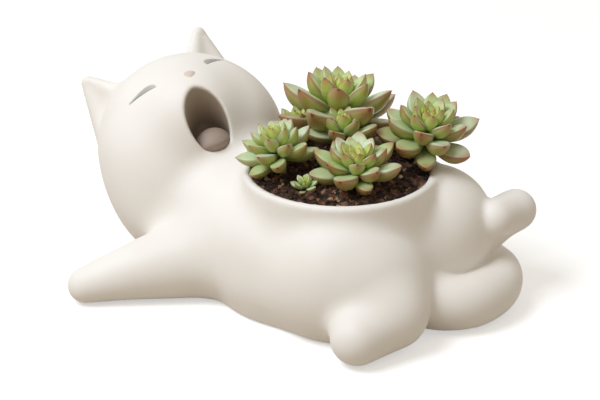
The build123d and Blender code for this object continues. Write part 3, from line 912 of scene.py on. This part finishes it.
def soil_layer(rings=44, sectors=150):
    """A closed disc with an uneven top that lies on the CAD soil."""
    outer = soil_radius - 0.4
    points = [(0.0, 0.0)]
    turns = np.linspace(0, 2 * math.pi, sectors, False)
    for ring in range(1, rings + 1):
        reach = outer * (ring / rings) ** 0.9
        points += [(reach * math.cos(a), reach * math.sin(a)) for a in turns]
    flat = np.array(points)
    x, y = flat[:, 0], flat[:, 1]
    fade = np.clip((outer - np.hypot(x, y)) / edge_fade, 0, 1)
    waves = 0.75 * uneven(x, y, 7) + 0.35 * uneven(x, y, 8, size=3.5)
    top = soil_height(x, y) + 0.9 + waves * (0.35 + 0.65 * fade)
    top = np.maximum(top, soil_height(x, y) - 0.4)
    bottom = soil_height(x, y) - layer_depth
    count = len(flat)
    places = np.concatenate([np.stack([x, y, top], 1), np.stack([x, y, bottom], 1)])
    faces = []
    for layer, up in ((0, True), (count, False)):
        for s in range(sectors):
            n = (s + 1) % sectors
            ring = [layer, layer + 1 + s, layer + 1 + n]
            faces.append(ring if up else ring[::-1])
            for r in range(rings - 1):
                a, b = layer + 1 + r * sectors, layer + 1 + (r + 1) * sectors
                ring = [a + s, b + s, b + n, a + n]
                faces.append(ring if up else ring[::-1])
    last = 1 + (rings - 1) * sectors
    for s in range(sectors):
        n = (s + 1) % sectors
        faces.append([last + s, last + count + s, last + count + n, last + n])
    data = bpy.data.meshes.new("soil_layer")
    data.from_pydata((places * MM).tolist(), [], faces)
    data.update()
    data.shade_smooth()
    return data


print("crown of the soil, mm:", round(float(soil_height(0.0, 0.0)), 1))

# %% [markdown]
# ## Soil material
# Peat and composted bark: dark brown, matte, with reddish and pale chips. Voronoi cells of a
# few millimetres give each crumb its own shade, and a finer noise gives the fibrous grain.

# %% Soil material
soil_paint, tree = new_material("peat_and_bark_potting_soil")
spot = add_node(tree, "ShaderNodeTexCoord").outputs["Object"]
cells = add_node(tree, "ShaderNodeTexVoronoi", {"Vector": spot, "Scale": 1 / 0.0026, "Randomness": 1.0})
shade = feed(tree, "ShaderNodeSeparateColor", {0: cells.outputs["Color"]})
ramp = add_node(tree, "ShaderNodeValToRGB", {0: shade})
stops = [(0.0, "#241912"), (0.35, "#35251A"), (0.62, "#4C3324"), (0.84, "#6B4832")]
stops += [(0.95, "#8A6548"), (1.0, "#B9A48A")]
for number, (place, code) in enumerate(stops):
    stop = ramp.color_ramp.elements[number] if number < 2 else ramp.color_ramp.elements.new(place)
    stop.position = place
    stop.color = colour(code)
fibre = noise(tree, 0.0009, 4.0)
shades = {0: ramp.outputs[0], 1: spread(tree, fibre, 0.0, 1.0, 0.72, 1.18)}
mixed = feed(tree, "ShaderNodeVectorMath", shades, operation="MULTIPLY")
coat(tree, {"Base Color": mixed, "Roughness": 0.92, "IOR": 1.4}, fibre, 0.7, 0.0006)
print("soil colours:", [code for _, code in stops])

# %% [markdown]
# ## Crumbs by Geometry Nodes
# A helper opens a new tree with named inputs. A second one runs a tree on an object, once,
# and keeps the plain mesh that comes out.


# %% Geometry Nodes helpers
def new_geometry_tree(name, inputs):
    """A geometry tree with named inputs, the sockets that give them, and the one for the result."""
    tree = bpy.data.node_groups.new(name, "GeometryNodeTree")
    tree.interface.new_socket("Geometry", in_out="INPUT", socket_type="NodeSocketGeometry")
    for label, (kind, value) in inputs.items():
        socket = tree.interface.new_socket(label, in_out="INPUT", socket_type=kind)
        socket.default_value = value
    tree.interface.new_socket("Geometry", in_out="OUTPUT", socket_type="NodeSocketGeometry")
    return tree, tree.nodes.new("NodeGroupInput").outputs, tree.nodes.new("NodeGroupOutput").inputs[0]


def grow(base, tree, values):
    """Runs a tree on an object with the given inputs, and leaves the plain result in it."""
    live = base.modifiers.new(tree.name, "NODES")
    live.node_group = tree
    for item in tree.interface.items_tree:
        if item.item_type == "SOCKET" and item.in_out == "INPUT" and item.name in values:
            live[item.identifier] = values[item.name]
    bpy.context.view_layer.update()
    made = bpy.data.meshes.new_from_object(base.evaluated_get(bpy.context.evaluated_depsgraph_get()))
    base.modifiers.remove(live)
    base.data = made
    return base


rim_clearance = 2.6
ruffle_width, ruffle_depth = 0.0017, 0.0021
least_upright = 0.3
fewer_large = 2.6
crumb_inputs = {
    "Crumbs per square metre": ("NodeSocketFloat", 250000.0),
    "Smallest crumb": ("NodeSocketFloat", 0.0006),
    "Largest crumb": ("NodeSocketFloat", 0.0019),
    "Seed": ("NodeSocketInt", 3),
    "Material": ("NodeSocketMaterial", soil_paint),
}
tree, given, result = new_geometry_tree("soil_crumbs", crumb_inputs)
crumb_tree = tree
spot = feed(tree, "GeometryNodeInputPosition")
parts = add_node(tree, "ShaderNodeSeparateXYZ", {0: spot}).outputs
facing = feed(tree, "GeometryNodeInputNormal")
tilt = add_node(tree, "ShaderNodeSeparateXYZ", {0: facing}).outputs[2]
upright = feed(tree, "FunctionNodeCompare", {"A": tilt, "B": least_upright}, operation="GREATER_THAN")
flat_spot = feed(tree, "ShaderNodeCombineXYZ", {0: parts[0], 1: parts[1]})
reach = add_node(tree, "ShaderNodeVectorMath", {0: flat_spot}, operation="LENGTH").outputs["Value"]
furthest = {"A": reach, "B": (soil_radius - rim_clearance) * MM}
clear = feed(tree, "FunctionNodeCompare", furthest, operation="LESS_THAN")
sowing = {
    "Mesh": given["Geometry"],
    "Selection": feed(tree, "FunctionNodeBooleanMath", {0: upright, 1: clear}),
    "Density": given["Crumbs per square metre"],
    "Seed": given["Seed"],
}
scatter = add_node(tree, "GeometryNodeDistributePointsOnFaces", sowing)
limits = {"Min": 0.0, "Max": 1.0, "Seed": given["Seed"]}
chance = add_node(tree, "FunctionNodeRandomValue", limits, data_type="FLOAT").outputs[1]
few = feed(tree, "ShaderNodeMath", {0: chance, 1: fewer_large}, operation="POWER")
size = spread(tree, few, 0.0, 1.0, given["Smallest crumb"], given["Largest crumb"])
limits = {0: (0.75, 0.55, 0.45), 1: (1.5, 1.1, 0.9), "Seed": 11}
stretch = feed(tree, "FunctionNodeRandomValue", limits, data_type="FLOAT_VECTOR")
limits = {0: (0.0, 0.0, 0.0), 1: (0.9, 0.9, 6.28), "Seed": 12}
swing = feed(tree, "FunctionNodeRandomValue", limits, data_type="FLOAT_VECTOR")
lump = add_node(tree, "GeometryNodeMeshIcoSphere", {"Radius": 1.0, "Subdivisions": 2})
crumbs = {
    "Points": scatter.outputs["Points"],
    "Instance": lump.outputs["Mesh"],
    "Rotation": swing,
    "Scale": feed(tree, "ShaderNodeVectorMath", {0: stretch, "Scale": size}, operation="SCALE"),
}
real = feed(tree, "GeometryNodeRealizeInstances", {0: feed(tree, "GeometryNodeInstanceOnPoints", crumbs)})
ruffle = add_node(tree, "ShaderNodeTexNoise", {"Vector": spot, "Scale": 1 / ruffle_width, "Detail": 1.0})
half = {0: ruffle.outputs["Color"], 1: (0.5, 0.5, 0.5)}
centred = feed(tree, "ShaderNodeVectorMath", half, operation="SUBTRACT")
push = feed(tree, "ShaderNodeVectorMath", {0: centred, "Scale": ruffle_depth}, operation="SCALE")
joined = add_node(tree, "GeometryNodeJoinGeometry")
tree.links.new(given["Geometry"], joined.inputs[0])
tree.links.new(feed(tree, "GeometryNodeSetPosition", {"Geometry": real, "Offset": push}), joined.inputs[0])
whole = feed(tree, "GeometryNodeRealizeInstances", {0: joined.outputs[0]})
coated = feed(tree, "GeometryNodeSetMaterial", {"Geometry": whole, "Material": given["Material"]})
tree.links.new(coated, result)

soil_top = new_object("soil_top_layer", soil_layer())
grow(soil_top, crumb_tree, {"Crumbs per square metre": 250000.0})
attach(soil_top, "root")
print("soil layer with crumbs:", len(soil_top.data.polygons), "faces")

# %% [markdown]
# ## The plants
# The rosettes are Echeveria-like succulents. Each leaf is a thick pointed spoon: narrow at
# the root, widest past the middle, a little hollow above and keeled below, and it ends in a
# fine red point. A rosette follows a rule: each leaf stands a golden angle (137.5 degrees)
# on from the one before, shorter and steeper. So one leaf is built from given numbers, and
# Geometry Nodes set it round the stem by that rule.


# %% One leaf
def leaf_mesh(stations=17, around=16):
    """A leaf of unit length and width along +X, with its place on the leaf as attributes."""
    share = np.array([0, 0.10, 0.22, 0.36, 0.50, 0.62, 0.74, 0.84, 0.91, 0.96, 1.0])
    wide = np.array([0.36, 0.46, 0.64, 0.84, 0.98, 1.0, 0.90, 0.69, 0.46, 0.25, 0.03])
    thick = np.array([0.16, 0.19, 0.24, 0.29, 0.32, 0.32, 0.29, 0.23, 0.16, 0.09, 0.012])
    run = 0.5 - 0.5 * np.cos(np.linspace(0.0, math.pi, stations))
    run = 0.55 * run + 0.45 * np.linspace(0, 1, stations)
    width = np.interp(run, share, wide) / 2
    depth = np.interp(run, share, thick)
    kernel = np.array([0.25, 0.5, 0.25])
    width[1:-1] = np.convolve(width, kernel, "valid")
    depth[1:-1] = np.convolve(depth, kernel, "valid")
    places, marks = [(-0.01, 0.0, 0.0)], [(0.0, 0.0, 0.0)]
    for s, w, d in zip(run, width, depth):
        for k in range(around):
            angle = 2 * math.pi * k / around
            c, v = math.cos(angle), math.sin(angle)
            y = w * math.copysign(abs(c) ** 0.85, c)
            if v >= 0:
                z = d * (0.24 * v ** 1.1 + 0.14 * c * c * v)
            else:
                z = -d * (0.66 * abs(v) ** 0.9 + 0.10 * abs(v) ** 6)
            places.append((s, y, z + 0.14 * s**2 + 0.04 * c * c * math.sin(math.pi * s)))
            marks.append((s, abs(c) ** 3, v))
    places.append((1.035, 0.0, 0.155))
    marks.append((1.03, 0.0, 0.0))
    faces = [(0, 1 + (k + 1) % around, 1 + k) for k in range(around)]
    for r in range(stations - 1):
        a, b = 1 + r * around, 1 + (r + 1) * around
        faces += [(a + k, a + (k + 1) % around, b + (k + 1) % around, b + k) for k in range(around)]
    a, tip = 1 + (stations - 1) * around, len(places) - 1
    faces += [(a + k, a + (k + 1) % around, tip) for k in range(around)]
    data = bpy.data.meshes.new("leaf")
    data.from_pydata(places, [], faces)
    data.update()
    for name, values in zip(("along", "edge", "face"), zip(*marks)):
        data.attributes.new(name, "FLOAT", "POINT").data.foreach_set("value", np.array(values, np.float32))
    data.shade_smooth()
    return data


leaf = leaf_mesh()
probe = bmesh.new()
probe.from_mesh(leaf)
print("leaf volume, unit leaf:", round(probe.calc_volume(signed=True), 4))
probe.free()

# %% [markdown]
# ## Leaf material
# The flesh is pale blue-green under a powdery bloom. The underside and the young heart are
# yellower. Sun turns the tips and edges rust-pink, and the oldest leaves dry to tan. These
# changes follow the leaf itself, so they read the attributes that the leaf and its rosette
# carry: along, edge, face, age (0 at the lowest leaf, 1 at the heart), tone (by chance) and
# warm (how much sun it had).

# %% Leaf material
leaf_paint, tree = new_material("echeveria_leaf_with_bloom")
marks = {}
for name in ("along", "edge", "face", "age", "tone", "warm"):
    marks[name] = add_node(tree, "ShaderNodeAttribute", attribute_name=name).outputs["Fac"]


def between(value, low, high, to_low=0.0, to_high=1.0):
    """A smooth step of a value in the leaf's tree."""
    return spread(tree, value, low, high, to_low, to_high, "SMOOTHSTEP")


def times(a, b):
    """The product of two shares in the leaf's tree."""
    return feed(tree, "ShaderNodeMath", {0: a, 1: b}, operation="MULTIPLY", use_clamp=True)


mottle = noise(tree, 0.006, 3.0)
along, edge, face, age, tone, warm = marks.values()
upper = blend(tree, tone, colour("#B4CA80"), colour("#D0DEBE"))
under = blend(tree, tone, colour("#9DB04A"), colour("#B4C362"))
blush = times(between(face, 0.4, -0.6), between(age, 0.75, 0.0))
rust = times(between(along, 0.74, 1.0), between(warm, 0.0, 1.0, 0.3, 1.0))
rim_rust = times(between(along, 0.15, 0.6), between(warm, 0.0, 0.7))
rim_rust = times(between(edge, 0.78, 0.98), rim_rust)
old = times(between(age, 0.35, 0.0), between(warm, 0.1, 0.9))
dry = times(between(age, 0.12, 0.0), between(tone, 0.2, 0.9))
flesh = blend(tree, between(face, -0.5, 0.15), under, upper)
for share, code in (
    (between(age, 0.45, 1.0, 0, 0.75), "#D2E064"),
    (times(between(along, 0.35, 0.0), 0.6), "#A9BC62"),
    (times(between(mottle, 0.35, 0.7), 0.25), "#BFCFB4"),
    (times(times(blush, warm), between(along, 0.1, 0.8)), "#9A6240"),
    (times(rust, 0.8), "#A8604A"),
    (times(rim_rust, 0.75), "#9C5A44"),
    (between(along, 0.955, 1.0, 0, 0.9), "#7C3F33"),
    (times(old, 0.45), "#8C6B3E"),
    (times(dry, 0.7), "#A08358"),
):
    flesh = blend(tree, share, flesh, colour(code))
inputs = {
    "Base Color": flesh,
    "Roughness": 0.36,
    "IOR": 1.4,
    "Subsurface Weight": 0.15,
    "Subsurface Scale": 0.003,
    "Subsurface Radius": (0.7, 1.0, 0.3),
}
coat(tree, inputs, noise(tree, 0.0010, 2.0), 0.18, 0.0002)
print("leaf material reads", ", ".join(marks))

# %% [markdown]
# ## The rosette's rule
# The tree takes a row of points, one for each leaf. The point's number gives its age, and the
# age gives its length, slope, distance from the stem and height. A little chance turns each
# leaf a few degrees. Then the leaf is set on each point and the whole is made plain mesh.

# %% Rosette tree
rosette_inputs = {
    "Leaves": ("NodeSocketInt", 26),
    "Reach": ("NodeSocketFloat", 0.025),
    "Lowest slope": ("NodeSocketFloat", 0.2),
    "Highest slope": ("NodeSocketFloat", 1.4),
    "Width": ("NodeSocketFloat", 0.55),
    "Youngest leaf": ("NodeSocketFloat", 0.22),
    "Warmth": ("NodeSocketFloat", 0.6),
    "Height": ("NodeSocketFloat", 0.45),
    "Seed": ("NodeSocketInt", 1),
    "Material": ("NodeSocketMaterial", leaf_paint),
}
tree, given, result = new_geometry_tree("rosette", rosette_inputs)
rosette_tree = tree


def sum_up(operation, a, b=0.0, c=0.0):
    """One step of arithmetic in the rosette's tree."""
    return feed(tree, "ShaderNodeMath", {0: a, 1: b, 2: c}, operation=operation)


def by_chance(low, high, seed):
    """A random number for each leaf in the rosette's tree."""
    limits = {2: low, 3: high, "Seed": sum_up("MULTIPLY_ADD", given["Seed"], 17.0, float(seed))}
    return add_node(tree, "FunctionNodeRandomValue", limits, data_type="FLOAT").outputs[1]


number = feed(tree, "GeometryNodeInputIndex")
last = sum_up("SUBTRACT", given["Leaves"], 1.0)
age = sum_up("DIVIDE", number, last)
bent = sum_up("POWER", age, 0.9)
slope_span = sum_up("SUBTRACT", given["Highest slope"], given["Lowest slope"])
slope = sum_up("MULTIPLY_ADD", bent, slope_span, given["Lowest slope"])
slope = sum_up("ADD", slope, by_chance(-0.07, 0.07, 1))
shrink = sum_up("SUBTRACT", 1.0, given["Youngest leaf"])
length = sum_up("SUBTRACT", 1.0, sum_up("MULTIPLY", sum_up("POWER", age, 1.35), shrink))
length = sum_up("MULTIPLY", length, sum_up("MINIMUM", 1.0, sum_up("MULTIPLY_ADD", age, 2.0, 0.74)))
length = sum_up("MULTIPLY", length, given["Reach"])
length = sum_up("MULTIPLY", length, by_chance(0.94, 1.04, 2))
turned = sum_up("MULTIPLY_ADD", number, math.radians(137.508), by_chance(-0.08, 0.08, 3))
stem_width = sum_up("MULTIPLY", sum_up("MULTIPLY_ADD", age, -0.10, 0.13), given["Reach"])
lift = sum_up("MULTIPLY", sum_up("MULTIPLY", age, given["Height"]), given["Reach"])
east = sum_up("MULTIPLY", sum_up("COSINE", turned), stem_width)
north = sum_up("MULTIPLY", sum_up("SINE", turned), stem_width)
place = feed(tree, "ShaderNodeCombineXYZ", {0: east, 1: north, 2: lift})
turns = {0: by_chance(-0.16, 0.16, 4), 1: sum_up("MULTIPLY", slope, -1.0), 2: turned}
turning = feed(tree, "ShaderNodeCombineXYZ", turns)
breadth = sum_up("MULTIPLY", length, given["Width"])
breadth = sum_up("MULTIPLY", breadth, by_chance(0.92, 1.06, 5))
leaves = {
    "Points": feed(tree, "GeometryNodePoints", {"Count": given["Leaves"], "Position": place}),
    "Instance": given["Geometry"],
    "Rotation": turning,
    "Scale": feed(tree, "ShaderNodeCombineXYZ", {0: length, 1: breadth, 2: length}),
}
marked = feed(tree, "GeometryNodeInstanceOnPoints", leaves)
warm = sum_up("MULTIPLY", given["Warmth"], by_chance(0.5, 1.3, 6))
for name, value in (("age", age), ("tone", by_chance(0.0, 1.0, 7)), ("warm", warm)):
    mark = {"Geometry": marked, "Name": name, "Value": value}
    marked = feed(tree, "GeometryNodeStoreNamedAttribute", mark, data_type="FLOAT", domain="INSTANCE")
real = feed(tree, "GeometryNodeRealizeInstances", {0: marked})
green = feed(tree, "GeometryNodeSetMaterial", {"Geometry": real, "Material": given["Material"]})
tree.links.new(green, result)
print("rosette tree has", len(rosette_tree.nodes), "nodes")

# %% [markdown]
# ## Seven rosettes in their places
# Each plant stands where its CAD stem is, and leans as the photograph shows.

# %% Plants
# name: reach, place of the lowest leaf, leaves, slopes, lean, way, turn, width, warmth, height
plants = {
    "back": (0.77, (-0.473, 0.637, 0.340), 28, -6, 74, 6, 80, 90, 0.50, 0.75, 0.44),
    "right": (0.60, (0.651, 0.757, 0.285), 34, -8, 78, 14, -35, 165, 0.50, 0.75, 0.56),
    "left": (0.46, (-0.469, -0.495, 0.250), 36, -10, 80, 14, -140, 120, 0.50, 0.35, 0.60),
    "front": (0.53, (0.369, -0.227, 0.165), 30, -2, 68, 8, -75, 180, 0.51, 0.80, 0.38),
    "middle": (0.46, (-0.165, 0.300, 0.290), 24, 0, 76, 6, -90, 45, 0.52, 0.60, 0.46),
    "small": (0.18, (0.010, -0.665, 0.064), 20, 6, 80, 5, -90, 285, 0.56, 0.10, 0.50),
    "hidden": (0.32, (-0.817, 0.343, 0.250), 20, 0, 80, 5, 160, 300, 0.54, 0.50, 0.45),
}


def plant_matrix(place, lean, way, turn):
    """The turn and place of a rosette: first its own turn, then its lean, then its place."""
    x, y, z = place
    hinge = Vector((-math.sin(math.radians(way)), math.cos(math.radians(way)), 0))
    base = Vector((x * soil_radius, y * soil_radius, soil_edge + z * soil_radius)) * MM
    tip = Matrix.Rotation(math.radians(lean), 4, hinge)
    return Matrix.Translation(base) @ tip @ Matrix.Rotation(math.radians(turn), 4, "Z")


for seed, (name, row_of_plant) in enumerate(plants.items(), 1):
    reach, place, leaves, low, high, lean, way, turn_degrees, width, warmth, height = row_of_plant
    rosette = new_object(name + "_rosette", leaf.copy())
    values = {
        "Leaves": leaves,
        "Reach": reach * soil_radius * MM,
        "Lowest slope": math.radians(low),
        "Highest slope": math.radians(high),
        "Width": width,
        "Warmth": warmth,
        "Height": height,
        "Seed": seed,
    }
    grow(rosette, rosette_tree, values)
    rosette.data.transform(plant_matrix(place, lean, way, turn_degrees))
    rosette.data.shade_smooth()
    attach(rosette, "root")
    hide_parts(name + "_plant_outer_leaves", name + "_plant_inner_leaves", name + "_plant_heart")
    print(rosette.name, leaves, "leaves,", len(rosette.data.polygons), "faces")

# %% [markdown]
# ## Stems and the drainage mesh
# These CAD pieces already have the right shape, so they stay, and get their real finish: a
# woody, ringed stem, and black moulded polyethylene net that is seen only from below.

# %% Stem and mesh materials
finish = {"Roughness": 0.75}
stem_paint = speckled("woody_succulent_stem", 0.0022, 4.0, ("#7E8257", "#A39A6C"), finish, 0.5)

net_paint, tree = new_material("black_moulded_polyethylene_net")
shine = spread(tree, noise(tree, 0.003, 2.0), 0.0, 1.0, 0.45, 0.65)
coat(tree, {"Base Color": colour("#26262A"), "Roughness": shine})

finishes = {"drainage_mesh": net_paint, "potting_soil": soil_paint}
finishes.update({name + "_plant_stem": stem_paint for name in plants})
for name, paint in finishes.items():
    for holder in bpy.data.objects[name].material_slots:
        holder.material = paint
print("finished CAD nodes:", ", ".join(finishes))
